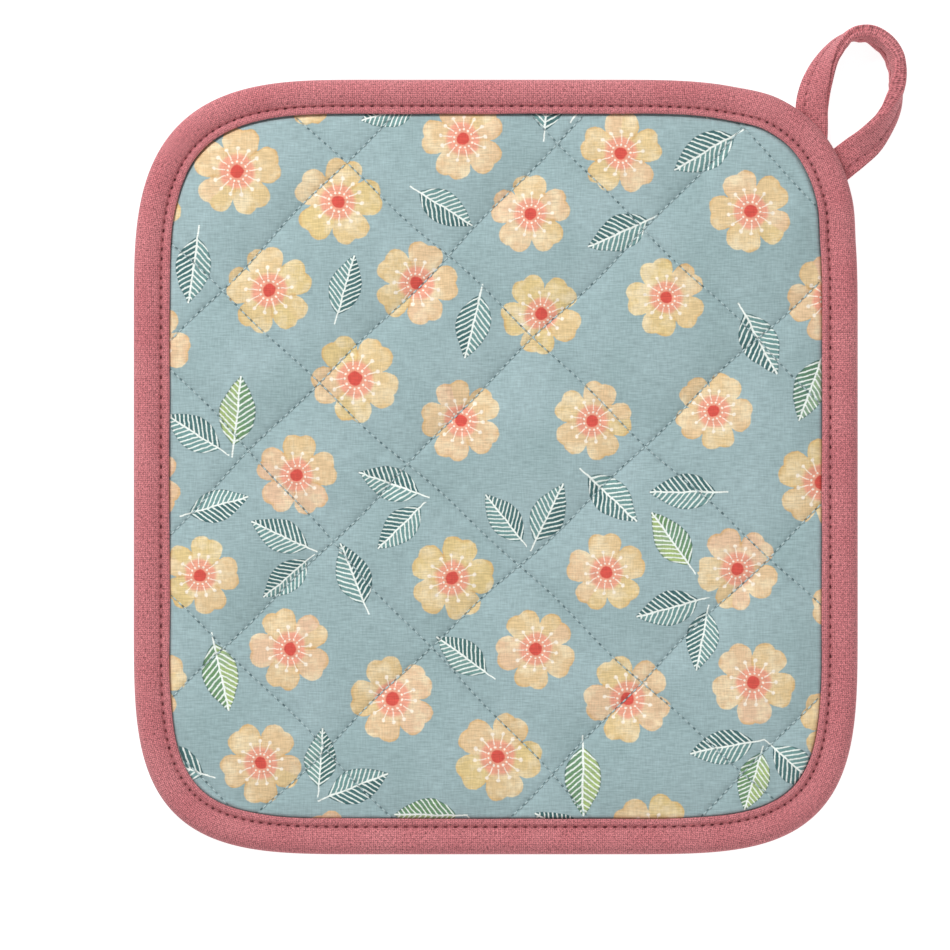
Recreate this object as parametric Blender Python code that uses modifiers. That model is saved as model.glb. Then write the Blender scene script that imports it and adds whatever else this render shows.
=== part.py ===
"""Quilted cotton pot holder with a bias binding and a hanging loop, lying face up.

Metres, +Z up. The origin is at the middle of the pad, on the surface that it lies on.
"""
import math

import bmesh
import bpy
from mathutils import Vector
from mathutils.geometry import intersect_point_line

# Outline of the finished pad, over the binding
PAD_WIDTH = 0.200
PAD_LENGTH = 0.214
CORNER_STEPS = 16
CORNER_EVENNESS = 0.8
SIDE_STEPS = 4

# Corners, each a quarter of a superellipse: (side across, side along, reach, power)
CORNER_ROWS = (
    (1, 1, 0.070, 3.5),
    (-1, 1, 0.064, 3.2),
    (-1, -1, 0.066, 3.7),
    (1, -1, 0.066, 3.7),
)

# Binding: the tape's wall, and the outer section of the fold as (inset from the edge, height)
BINDING_WALL = 0.0011
BINDING_UNDER_ROWS = (
    (0.0098, 0.0001),
    (0.0075, 0.0004),
    (0.0056, 0.0000),
    (0.0026, 0.0000),
    (0.0007, 0.0012),
)
BINDING_EDGE_HEIGHT = 0.0034
BINDING_OVER_ROWS = (
    (0.0005, 0.0052),
    (0.0017, 0.0064),
    (0.0036, 0.0069),
    (0.0058, 0.0065),
    (0.0075, 0.0055),
    (0.0085, 0.0060),
    (0.0098, 0.0057),
)

# Filled pad: (inset from the binding's edge, height of the underside, height of the face)
PAD_RIM_ROWS = (
    (0.0017, 0.0029, 0.0041),
    (0.0026, 0.0018, 0.0050),
    (0.0044, 0.00145, 0.0054),
    (0.0075, 0.00185, 0.0039),
    (0.0102, 0.0016, 0.0044),
    (0.0125, 0.0005, 0.0066),
    (0.0180, 0.0000, 0.0081),
    (0.0280, 0.0000, 0.0088),
)
FIELD_INSET = 0.0102

# Quilting seams: (heading in degrees, distance from the pad's middle to the left of the heading)
SEAM_ROWS = (
    (45.0, 0.0882),
    (45.0, 0.0507),
    (45.0, 0.0175),
    (43.4, -0.0241),
    (45.0, -0.0706),
    (45.0, -0.1077),
    (-45.0, 0.1136),
    (-45.0, 0.0755),
    (-43.2, 0.0331),
    (-42.7, -0.0159),
    (-47.0, -0.0470),
    (-45.0, -0.0884),
    (-45.0, -0.1179),
)
SEAM_DEPTH = 0.0022
SEAM_SPREAD = 0.0065
SEAM_RISE = 0.0013
SEAM_FLAT_FROM = 0.0080
SEAM_LINES = (-0.0080, -0.0030, 0.0, 0.0030, 0.0080)
SEAM_SNAP = 0.0004

# Hanging loop: a folded tape, flat at both legs, and bunched and rolled past its edge round the bend.
# Rows run from the left leg's sewn end to the right leg's: (x, y, roll in degrees, thickness)
LOOP_TAPE_WIDTH = 0.0090
LOOP_ROUND_SHARE = 0.42
LOOP_ROUND_STEPS = 2
LOOP_ROWS = (
    (0.0869, 0.0876, 0, 0.0020),
    (0.0873, 0.0937, 0, 0.0020),
    (0.0874, 0.0994, 8, 0.0020),
    (0.0881, 0.1039, 24, 0.0020),
    (0.0894, 0.1079, 40, 0.0021),
    (0.0908, 0.1112, 55, 0.0023),
    (0.0927, 0.1143, 68, 0.0026),
    (0.0953, 0.1171, 80, 0.0031),
    (0.0986, 0.1193, 92, 0.0035),
    (0.1023, 0.1197, 98, 0.0035),
    (0.1052, 0.1186, 103, 0.0035),
    (0.1080, 0.1164, 104, 0.0035),
    (0.1099, 0.1135, 103, 0.0035),
    (0.1107, 0.1105, 99, 0.0036),
    (0.1109, 0.1076, 95, 0.0039),
    (0.1107, 0.1049, 90, 0.0042),
    (0.1102, 0.1023, 81, 0.0039),
    (0.1096, 0.0998, 71, 0.0032),
    (0.1085, 0.0972, 62, 0.0028),
    (0.1067, 0.0942, 52, 0.0024),
    (0.1031, 0.0899, 30, 0.0021),
    (0.0996, 0.0870, 14, 0.0020),
    (0.0970, 0.0849, 2, 0.0020),
    (0.0943, 0.0827, 0, 0.0020),
    (0.0902, 0.0797, 0, 0.0020),
)
LOOP_STEPS = 2

# Where the loop's legs lie under the binding, which rises over them there and is pushed outwards
SEAT_PUSH = 0.0006
SEAT_POINT = Vector((0.0906, 0.0896))
SEAT_FULL_REACH = 0.017
SEAT_FADE_REACH = 0.030
SEAT_FADE_INSET = 0.022
SEAT_LIFT_UNDER = 0.0023
SEAT_LIFT_OVER = 0.0016

# Matt woven cotton, in linear colour
PRINTED_COTTON = (0.34, 0.47, 0.49)
BINDING_COTTON = (0.50, 0.17, 0.19)
COTTON_ROUGHNESS = 0.9
CREASE_ANGLE = 50


def clear_scene():
    """Remove every object, so that the script can be run again."""
    for obj in list(bpy.data.objects):
        bpy.data.objects.remove(obj, do_unlink=True)


def smooth_ramp(value, start, end):
    """Smooth step from 0 at start to 1 at end."""
    share = min(max((value - start) / (end - start), 0.0), 1.0)
    return share * share * (3.0 - 2.0 * share)


def read_rows(rows, position, column):
    """Value of a column of a table at a position in its first column, on straight lines."""
    if position <= rows[0][0]:
        return rows[0][column]
    for low, high in zip(rows, rows[1:]):
        if position <= high[0]:
            share = (position - low[0]) / (high[0] - low[0])
            return low[column] + share * (high[column] - low[column])
    return rows[-1][column]


def seat_share(edge_point):
    """How fully the binding is raised over the loop's legs at a point of the edge, 0 to 1."""
    distance = (edge_point - SEAT_POINT).length
    return 1.0 - smooth_ramp(distance, SEAT_FULL_REACH, SEAT_FADE_REACH)


def make_outline():
    """Points and outward normals of the pad's edge, anticlockwise from the right side."""
    corners = [make_corner(*row) for row in CORNER_ROWS]
    rows = []
    for corner, following in zip(corners, corners[1:] + corners[:1]):
        rows += corner + side_between(corner[-1], following[0])
    return [(point + normal * SEAT_PUSH * seat_share(point), normal) for point, normal in rows]


def make_corner(across, along, reach, power):
    """Points and outward normals round one corner, closer together where it bends most."""
    centre = Vector((across * (PAD_WIDTH / 2 - reach), along * (PAD_LENGTH / 2 - reach)))
    rows = []
    for step in range(CORNER_STEPS + 1):
        angle = step / CORNER_STEPS * math.pi / 2
        cosine = math.cos(angle) ** CORNER_EVENNESS
        sine = math.sin(angle) ** CORNER_EVENNESS
        size = (cosine ** power + sine ** power) ** (1 / power)
        point = Vector((across * cosine, along * sine)) / size
        normal = Vector((across * cosine ** (power - 1), along * sine ** (power - 1)))
        rows.append((centre + point * reach, normal.normalized()))
    return rows if across == along else rows[::-1]


def side_between(start, end):
    """Points of a straight side between two corners, without its ends."""
    rows = []
    for step in range(1, SIDE_STEPS):
        point = start[0].lerp(end[0], step / SIDE_STEPS)
        rows.append((point, start[1]))
    return rows


OUTLINE = make_outline()


def edge_place(point):
    """Distance from a point to the pad's edge, and the nearest point there."""
    best = None
    for start, end in zip(OUTLINE, OUTLINE[1:] + OUTLINE[:1]):
        near, share = intersect_point_line(point.to_3d(), start[0].to_3d(), end[0].to_3d())
        near = near.to_2d() if 0.0 <= share <= 1.0 else (start[0] if share < 0.0 else end[0])
        distance = (point - near).length
        if best is None or distance < best[0]:
            best = (distance, near)
    return best


def seam_line(heading, offset):
    """A point on a seam and the unit normal to the left of its heading."""
    angle = math.radians(heading)
    normal = Vector((-math.sin(angle), math.cos(angle)))
    return normal * offset, normal


def seam_distances(point):
    """Distance to the nearest seam of each of the two directions."""
    nearest = [PAD_LENGTH, PAD_LENGTH]
    for heading, offset in SEAM_ROWS:
        direction = 0 if heading > 0 else 1
        origin, normal = seam_line(heading, offset)
        nearest[direction] = min(nearest[direction], abs((point - origin).dot(normal)))
    return nearest


def face_height(point):
    """Height of the quilted face at a point."""
    inset, edge_point = edge_place(point)
    first, second = seam_distances(point)
    groove = 1 - (1 - math.exp(-first / SEAM_SPREAD)) * (1 - math.exp(-second / SEAM_SPREAD))
    rim = read_rows(PAD_RIM_ROWS, inset, 2)
    low = read_rows(PAD_RIM_ROWS, FIELD_INSET, 2)
    high = PAD_RIM_ROWS[-1][2]
    fullness = max(rim - low, 0.0) / (high - low) if inset > FIELD_INSET else 0.0
    lift = seat_share(edge_point) * (1 - smooth_ramp(inset, FIELD_INSET, SEAT_FADE_INSET))
    return rim - SEAM_DEPTH * groove * fullness + lift * SEAT_LIFT_OVER


def underside_height(point):
    """Height of the quilted underside: flat in each diamond, raised along the seams."""
    inset, edge_point = edge_place(point)
    nearest = min(seam_distances(point))
    groove = max(0.0, 1 - nearest / SEAM_FLAT_FROM) ** 2
    rim = read_rows(PAD_RIM_ROWS, inset, 1)
    fullness = smooth_ramp(inset, FIELD_INSET, SEAT_FADE_INSET)
    lift = seat_share(edge_point) * (1 - fullness)
    return rim + SEAM_RISE * groove * fullness + lift * SEAT_LIFT_UNDER


def ring_at(mesh, inset):
    """A closed ring of vertices at an inset from the pad's edge, on the ground plane."""
    return [mesh.verts.new((point - normal * inset).to_3d()) for point, normal in OUTLINE]


def join_rings(mesh, first, second):
    """Faces between two closed rings of vertices."""
    for index in range(len(first)):
        following = (index + 1) % len(first)
        mesh.faces.new((first[index], first[following], second[following], second[index]))


def cut_along(mesh, heading, offset):
    """Cut the field's faces along a line, leaving what lies under the binding uncut."""
    origin, normal = seam_line(heading, offset)
    faces = [face for face in mesh.faces
             if edge_place(face.calc_center_median().to_2d())[0] > FIELD_INSET]
    edges = dict.fromkeys(edge for face in faces for edge in face.edges)
    verts = dict.fromkeys(vert for face in faces for vert in face.verts)
    bmesh.ops.bisect_plane(mesh, geom=[*verts, *edges, *faces], dist=SEAM_SNAP,
                           plane_co=origin.to_3d(), plane_no=normal.to_3d())


def cut_seams(mesh):
    """Cut lines along each seam, beside it, and midway to the next seam."""
    for heading, offset in SEAM_ROWS:
        for shift in SEAM_LINES:
            cut_along(mesh, heading, offset + shift)
    for first, second in zip(SEAM_ROWS, SEAM_ROWS[1:]):
        if first[0] * second[0] > 0:
            cut_along(mesh, (first[0] + second[0]) / 2, (first[1] + second[1]) / 2)


def make_material(name, colour):
    """A plain cotton finish."""
    material = bpy.data.materials.new(name)
    material.use_nodes = True
    shader = material.node_tree.nodes["Principled BSDF"]
    shader.inputs["Base Color"].default_value = (*colour, 1.0)
    shader.inputs["Roughness"].default_value = COTTON_ROUGHNESS
    shader.inputs["Metallic"].default_value = 0.0
    return material


def finish_object(name, mesh, collection, material):
    """Turn a bmesh into a smooth-shaded object in the collection."""
    bmesh.ops.recalc_face_normals(mesh, faces=mesh.faces)
    data = bpy.data.meshes.new(name)
    mesh.to_mesh(data)
    mesh.free()
    data.shade_smooth()
    data.set_sharp_from_angle(angle=math.radians(CREASE_ANGLE))
    data.materials.append(material)
    obj = bpy.data.objects.new(name, data)
    collection.objects.link(obj)
    return obj


def build_pad(collection, material):
    """The filled pad, quilted through, with a pinched rim inside the binding."""
    mesh = bmesh.new()
    rings = [ring_at(mesh, row[0]) for row in PAD_RIM_ROWS[:-1]]
    for first, second in zip(rings, rings[1:]):
        join_rings(mesh, first, second)
    mesh.faces.new(rings[-1])
    cut_seams(mesh)
    result = bmesh.ops.extrude_face_region(mesh, geom=mesh.faces[:])
    face_verts = {item for item in result["geom"] if isinstance(item, bmesh.types.BMVert)}
    for vert in mesh.verts:
        point = vert.co.to_2d()
        vert.co.z = face_height(point) if vert in face_verts else underside_height(point)
    bmesh.ops.triangulate(mesh, faces=mesh.faces[:])
    return finish_object("quilted_pad", mesh, collection, material)


def build_binding(collection, material):
    """The bias tape folded over the pad's edge all round, with its wall as Solidify."""
    section = [(*row, SEAT_LIFT_UNDER) for row in BINDING_UNDER_ROWS]
    section.append((0.0, BINDING_EDGE_HEIGHT, (SEAT_LIFT_UNDER + SEAT_LIFT_OVER) / 2))
    section += [(*row, SEAT_LIFT_OVER) for row in BINDING_OVER_ROWS]
    mesh = bmesh.new()
    rings = []
    for inset, height, lift in section:
        ring = ring_at(mesh, inset)
        for vert, (edge_point, _) in zip(ring, OUTLINE):
            vert.co.z = height + lift * seat_share(edge_point)
        rings.append(ring)
    for first, second in zip(rings, rings[1:]):
        join_rings(mesh, first, second)
    obj = finish_object("edge_binding", mesh, collection, material)
    wall = obj.modifiers.new("tape_wall", 'SOLIDIFY')
    wall.thickness = BINDING_WALL
    wall.offset = -1.0
    wall.use_even_offset = True
    return obj


def loop_stations():
    """Points, rolls and thicknesses along the loop, on a smooth curve through its rows."""
    rows = [Vector(row) for row in LOOP_ROWS]
    stations = []
    for index in range(len(rows) - 1):
        before = rows[max(index - 1, 0)]
        start = rows[index]
        end = rows[index + 1]
        after = rows[min(index + 2, len(rows) - 1)]
        for step in range(LOOP_STEPS):
            t = step / LOOP_STEPS
            stations.append(0.5 * (2 * start + (end - before) * t
                                   + (2 * before - 5 * start + 4 * end - after) * t * t
                                   + (3 * start - before - 3 * end + after) * t ** 3))
    return stations + [rows[-1]]


def tape_section(thickness):
    """Points round the tape's section as (across, through), with its folded edges rounded."""
    radius = thickness * LOOP_ROUND_SHARE
    quarter = []
    for step in range(LOOP_ROUND_STEPS + 1):
        angle = step / LOOP_ROUND_STEPS * math.pi / 2
        across = LOOP_TAPE_WIDTH / 2 - radius * (1 - math.cos(angle))
        through = thickness / 2 - radius * (1 - math.sin(angle))
        quarter.append((across, through))
    points = []
    for side, face in ((1, 1), (-1, 1), (-1, -1), (1, -1)):
        corner = [(side * x, face * y) for x, y in quarter]
        points += corner if side * face > 0 else corner[::-1]
    return points


def build_loop(collection, material):
    """The folded tape, standing on the surface on its outer edge where it is rolled."""
    mesh = bmesh.new()
    stations = loop_stations()
    rings = []
    for index, station in enumerate(stations):
        ahead = stations[min(index + 1, len(stations) - 1)]
        behind = stations[max(index - 1, 0)]
        heading = (ahead.to_2d() - behind.to_2d()).normalized()
        outward = Vector((-heading.y, heading.x, 0.0))
        roll = math.radians(station.z)
        across = Vector((0.0, 0.0, math.sin(roll))) - outward * math.cos(roll)
        through = Vector((0.0, 0.0, math.cos(roll))) + outward * math.sin(roll)
        offsets = [across * x + through * y for x, y in tape_section(station.w)]
        lowest = min(offset.z for offset in offsets)
        centre = Vector((station.x, station.y, -lowest))
        rings.append([mesh.verts.new(centre + offset) for offset in offsets])
    for first, second in zip(rings, rings[1:]):
        join_rings(mesh, first, second)
    mesh.faces.new(rings[0])
    mesh.faces.new(rings[-1])
    return finish_object("hanging_loop", mesh, collection, material)


def main():
    """Build the pot holder's three pieces."""
    clear_scene()
    collection = bpy.data.collections.new("pot_holder")
    bpy.context.scene.collection.children.link(collection)
    face_cotton = make_material("printed_cotton", PRINTED_COTTON)
    tape_cotton = make_material("binding_cotton", BINDING_COTTON)
    build_pad(collection, face_cotton)
    build_binding(collection, tape_cotton)
    build_loop(collection, tape_cotton)


main()
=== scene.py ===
"""Quilted pot holder laid face up: printed cotton pad, pink bias binding and hanging loop.

Everything is in metres, except where millimetres are named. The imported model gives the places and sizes;
this script dresses it.
"""
import logging
import math
import random
from dataclasses import dataclass, field
from enum import Enum

import bmesh
import bpy
import numpy as np
from mathutils import Matrix, Vector, noise


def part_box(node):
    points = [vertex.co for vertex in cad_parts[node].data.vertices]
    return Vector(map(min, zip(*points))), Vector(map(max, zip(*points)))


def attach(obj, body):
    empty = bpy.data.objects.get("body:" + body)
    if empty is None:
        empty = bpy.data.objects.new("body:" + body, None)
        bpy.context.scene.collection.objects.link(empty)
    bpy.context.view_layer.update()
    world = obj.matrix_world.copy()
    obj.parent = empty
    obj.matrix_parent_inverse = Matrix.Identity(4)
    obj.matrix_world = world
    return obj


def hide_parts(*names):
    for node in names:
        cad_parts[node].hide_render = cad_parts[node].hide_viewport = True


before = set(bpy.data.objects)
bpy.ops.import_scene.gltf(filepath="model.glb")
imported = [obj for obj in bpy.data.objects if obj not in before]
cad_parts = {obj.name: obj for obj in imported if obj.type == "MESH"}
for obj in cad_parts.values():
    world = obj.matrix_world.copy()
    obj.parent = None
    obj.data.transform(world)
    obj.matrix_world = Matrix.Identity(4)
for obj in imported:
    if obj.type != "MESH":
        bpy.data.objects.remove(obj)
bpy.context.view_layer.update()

LOG = logging.getLogger("pot_holder")
MM = 0.001
BODY = "root"
QUILT_STITCH_PITCH = 2.05 * MM
TOP_STITCH_PITCH = 2.75 * MM

Array = np.ndarray
Node = bpy.types.Node
Socket = bpy.types.NodeSocket
Mesh = bpy.types.Mesh
Material = bpy.types.Material
Piece = bpy.types.Object


def linear(colour: str) -> tuple:
    """Turn an sRGB hex colour into linear red, green, blue and alpha."""
    parts = [int(colour[place:place + 2], 16) / 255 for place in (1, 3, 5)]
    curve = [part / 12.92 if part <= 0.04045 else ((part + 0.055) / 1.055) ** 2.4 for part in parts]
    return (*curve, 1.0)


def feed(tree: bpy.types.NodeTree, node: Node, inputs: dict) -> None:
    """Set a node's inputs, each from a value, a node or an output socket."""
    for key, value in inputs.items():
        if isinstance(value, Node):
            value = next(socket for socket in value.outputs if socket.enabled)
        if isinstance(value, Socket):
            tree.links.new(value, node.inputs[key])
        else:
            node.inputs[key].default_value = value


def add_node(tree: bpy.types.NodeTree, kind: str, inputs: dict = None, stops: tuple = (),
             **settings) -> Node:
    """Add a node with its settings, its input values or links, and its ramp's stops.

    Args:
        tree: The material's node tree.
        kind: The node's type name.
        inputs: Socket name or index to a value, a node or an output socket.
        stops: Rows of (position, sRGB hex colour or grey value) for a colour ramp.
        settings: The node's own properties.

    Returns:
        The new node.
    """
    node = tree.nodes.new(kind)
    for name, value in settings.items():
        setattr(node, name, value)
    feed(tree, node, inputs or {})
    for index, (position, colour) in enumerate(stops):
        elements = node.color_ramp.elements
        element = elements[index] if index < 2 else elements.new(position)
        element.position = position
        element.color = linear(colour) if isinstance(colour, str) else (colour,) * 3 + (1.0,)
    return node


@dataclass(frozen=True)
class Graph:
    """Short names for the nodes that the cloths use most."""

    tree: bpy.types.NodeTree

    def add(self, kind: str, inputs: dict = None, **settings) -> Node:
        """Any shader node."""
        return add_node(self.tree, "ShaderNode" + kind, inputs, **settings)

    def math(self, operation: str, *values) -> Node:
        """A function of one to three numbers."""
        return self.add("Math", dict(enumerate(values)), operation=operation)

    def vector(self, operation: str, *values) -> Node:
        """A function of one to three vectors."""
        return self.add("VectorMath", dict(enumerate(values)), operation=operation)

    def scaled(self, vector: Node, factor: object) -> Node:
        """A vector or colour times a number."""
        return self.add("VectorMath", {0: vector, "Scale": factor}, operation='SCALE')

    def parts(self, vector: object) -> Node:
        """A vector's three numbers."""
        return self.add("SeparateXYZ", {0: vector})

    def length(self, first: Node, second: Node) -> Node:
        """The length of the vector with these two numbers."""
        return self.vector('LENGTH', self.add("CombineXYZ", {0: first, 1: second}))

    def centred(self, value: Node) -> Node:
        """A number's distance from the middle of its whole step, -0.5 to 0.5."""
        return self.math('SUBTRACT', self.math('FRACT', value), 0.5)

    def within(self, value: object, low: float, high: float) -> Node:
        """1 where a number lies between two limits, and 0 elsewhere."""
        return self.math('MULTIPLY', self.math('GREATER_THAN', value, low),
                         self.math('LESS_THAN', value, high))

    def fit(self, value: object, low: float, high: float, bottom: float = 0.0, top: float = 1.0,
            soft: bool = False) -> Node:
        """Bring a number from low and high to bottom and top and hold it there, with soft ends if wanted."""
        return self.add("MapRange", {"Value": value, "From Min": low, "From Max": high, "To Min": bottom,
                                     "To Max": top}, interpolation_type='SMOOTHSTEP' if soft else 'LINEAR')

    def mix(self, share: float, first: Node, second: object) -> Node:
        """Mix two numbers."""
        return self.add("Mix", {0: share, 2: first, 3: second})

    def blend(self, share: Node, first: object, second: object) -> Node:
        """Mix two colours, each a node, four numbers or a hex colour."""
        inks = [linear(ink) if isinstance(ink, str) else ink for ink in (first, second)]
        return self.add("Mix", {0: share, 6: inks[0], 7: inks[1]}, data_type='RGBA')

    def noise(self, place: object, scale: float, detail: float = 2.0, roughness: float = 0.5) -> Node:
        """Smooth noise, about 0.5."""
        return self.add("TexNoise", {"Vector": place, "Scale": scale, "Detail": detail,
                                     "Roughness": roughness})

    def chart(self, name: str) -> Node:
        """One of the mesh's own maps."""
        return self.add("UVMap", uv_map=name)

    def object_place(self) -> Socket:
        """The object's own coordinates, in metres."""
        return self.add("TexCoord").outputs["Object"]


def start_material(name: str) -> tuple:
    """A new material under its finish's plain name, with its graph and its Principled shader."""
    material = bpy.data.materials.new(name)
    material.use_nodes = True
    return material, Graph(material.node_tree), material.node_tree.nodes["Principled BSDF"]


def finish_cloth(graph: Graph, shader: Node, colour: Node, bump: Node, roughness: float) -> None:
    """Connect a cloth's colour and bump, with the soft edge light of cotton fuzz."""
    feed(graph.tree, shader, {"Base Color": colour, "Normal": bump, "Roughness": roughness,
                              "Specular IOR Level": 0.2, "Sheen Weight": 0.12, "Sheen Roughness": 0.6})


@dataclass(frozen=True)
class Weave:
    """Plain weave of fine cotton yarn, as bump and light and dark threads.

    The real yarns are about 0.3 mm apart, too fine for the render, so they are drawn coarser.
    """

    pitch: float = 0.38 * MM
    slub_length: float = 3.6 * MM
    turn: float = 0.0
    contrast: float = 0.24
    crossing: float = 0.36
    relief: float = 0.06 * MM
    yarn: float = 0.75 * MM
    evenness: float = 0.0

    def build(self, graph: Graph, place: Socket, unit: float) -> tuple:
        """Draw the threads.

        Args:
            graph: The material's graph.
            place: Coordinates on the cloth.
            unit: Metres in one unit of those coordinates.

        Returns:
            The threads' brightness node, near 1, and the bump node.
        """
        turned = graph.add("Mapping", {"Vector": place, "Rotation": (0, 0, math.radians(self.turn))})
        fine = unit / self.pitch
        long = unit / self.slub_length
        threads = [graph.noise(graph.vector('MULTIPLY', turned, scale), 1.0, roughness=0.6)
                   for scale in ((long, fine, 1.0), (fine, long, 1.0))]
        bent = graph.vector('MULTIPLY_ADD', threads[0].outputs["Color"], (self.yarn / unit,) * 3, turned)
        turns = graph.parts(graph.vector('MULTIPLY', bent, (math.tau * unit / self.yarn,) * 3))
        waves = [graph.math('SINE', turns.outputs[axis]) for axis in (0, 1)]
        weave = graph.math('MULTIPLY_ADD', graph.math('MULTIPLY', *waves), self.evenness,
                           graph.mix(self.crossing, *threads))
        bright = graph.fit(weave, 0.3, 0.7, 1.0 - self.contrast, 1.0 + self.contrast)
        return bright, graph.add("Bump", {"Height": weave, "Strength": 0.6, "Distance": self.relief})


@dataclass(frozen=True)
class NeedleRow:
    """A pressed seam with its stitch holes, read from the seam map; the cottons darken the holes with
    painted shade. Sizes are in millimetres.
    """

    pitch: float
    half_length: float
    half_width: float
    faintest: float
    crease_width: float = 0.30
    crease_depth: float = 0.15
    hole_depth: float = 0.15

    def build(self, graph: Graph, bump: Node) -> tuple:
        """Draw the holes, and press them and the seam into the surface over a finer bump.

        Args:
            graph: The material's graph.
            bump: The cloth's own bump.

        Returns:
            A node that is 1 in a hole and 0 away from it, and the bump node for all.
        """
        seam = graph.chart("seam")
        along, across = graph.parts(seam).outputs[:2]
        step = graph.centred(graph.math('DIVIDE', along, self.pitch))
        distance = graph.length(graph.math('MULTIPLY', step, self.pitch / self.half_length),
                                graph.math('DIVIDE', across, self.half_width))
        pull = graph.fit(graph.noise(seam, 0.7 / self.pitch, 1.0), 0.35, 0.6, self.faintest)
        holes = graph.math('MULTIPLY', graph.fit(distance, 0.6, 1.3, 1.0, 0.0, soft=True), pull)
        beside = graph.math('DIVIDE', across, self.crease_width)
        fall = graph.math('MULTIPLY', graph.math('MULTIPLY', beside, beside), -1.0)
        pressed = graph.math('MULTIPLY', graph.math('EXPONENT', fall), -self.crease_depth)
        height = graph.math('MULTIPLY_ADD', holes, -self.hole_depth, pressed)
        return holes, graph.add("Bump", {"Height": height, "Distance": MM, "Normal": bump})


@dataclass(frozen=True)
class BloomInk:
    """Watercolour blossoms: notched petals, a blush centre and fine cream stamens."""

    petals: int = 5
    stamens: int = 13
    petal_edge: tuple = ((0.0, 0.925), (1.0, 0.60), (0.10, 0.955), (0.26, 0.99), (0.5, 0.985),
                         (0.75, 0.90), (0.92, 0.74))
    stamen_dots: tuple = ((0.52, 0.042), (0.22, 0.026))
    pale: str = "#F1E0BC"
    butter: str = "#E0C88F"
    peach: str = "#E5C2A2"
    ochre: str = "#D2A566"
    blush: str = "#EC9F88"
    heart: str = "#D8564B"
    cream: str = "#FBEFDD"

    def build(self, graph: Graph, spot: Node, facts: Node, wash: Node) -> tuple:
        """Draw a blossom around the motif's middle, its petals ending at radius 1.

        Args:
            graph: The material's graph.
            spot: Coordinates in the motif.
            facts: The motif's kind, tone and tint, as three outputs.
            wash: The watercolour's uneven pigment, about 0 to 1.

        Returns:
            The blossom's mask and colour nodes.
        """
        parts = graph.parts(spot)
        radius = graph.vector('LENGTH', spot)
        angle = graph.math('ARCTAN2', parts.outputs[1], parts.outputs[0])
        turns = graph.math('MULTIPLY', angle, self.petals / math.tau)
        side = graph.math('ABSOLUTE', graph.centred(turns))
        reach = graph.add("ValToRGB", {0: graph.math('MULTIPLY', side, 2.0)}, stops=self.petal_edge)
        reach.color_ramp.interpolation = 'B_SPLINE'
        depth = graph.math('SUBTRACT', reach, radius)
        seed = graph.add("CombineXYZ", {0: graph.math('FLOOR', turns), 1: facts.outputs[1]})
        chance = graph.add("TexWhiteNoise", {"Vector": seed}, noise_dimensions='2D')
        tone = graph.mix(0.5, chance, facts.outputs[2])
        colour = graph.add("ValToRGB", {0: tone}, stops=((0.15, self.butter), (0.85, self.peach)))
        colour = graph.blend(graph.fit(wash, 0.46, 0.68, top=0.85), colour, self.pale)
        edges = graph.math('MAXIMUM', graph.fit(depth, 0.10, 0.0), graph.fit(side, 0.42, 0.5))
        pooled = graph.math('MULTIPLY', edges, graph.fit(wash, 0.60, 0.36, top=0.85))
        colour = self.centre(graph, graph.blend(pooled, colour, self.ochre), radius, angle, wash)
        return graph.fit(depth, 0.0, 0.025, soft=True), colour

    def centre(self, graph: Graph, colour: Node, radius: Node, angle: Node, wash: Node) -> Node:
        """Draw the blush, the stamens and the heart over the petals.

        Args:
            graph: The material's graph.
            colour: The petals' colour.
            radius: Distance from the blossom's middle.
            angle: Direction from the middle.
            wash: The watercolour's uneven pigment.

        Returns:
            The blossom's colour node.
        """
        inner = graph.math('SUBTRACT', graph.fit(wash, 0.0, 1.0, 0.30, 0.46), radius)
        colour = graph.blend(graph.fit(inner, -0.07, 0.05, top=0.92, soft=True), colour, self.blush)
        arc = graph.math('MULTIPLY', radius, math.tau / self.stamens)
        away = graph.centred(graph.math('MULTIPLY', angle, self.stamens / math.tau))
        beside = graph.math('MULTIPLY', away, arc)
        for ring, size in self.stamen_dots:
            gap = graph.length(graph.math('SUBTRACT', radius, ring), beside)
            colour = graph.blend(graph.fit(gap, size * 1.3, size * 0.7), colour, self.cream)
        line = graph.fit(graph.math('ABSOLUTE', beside), 0.020, 0.008, top=0.8)
        drawn = graph.math('MULTIPLY', line, graph.within(radius, 0.27, 0.50))
        colour = graph.blend(drawn, colour, self.cream)
        return graph.blend(graph.fit(radius, 0.165, 0.135), colour, self.heart)


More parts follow.
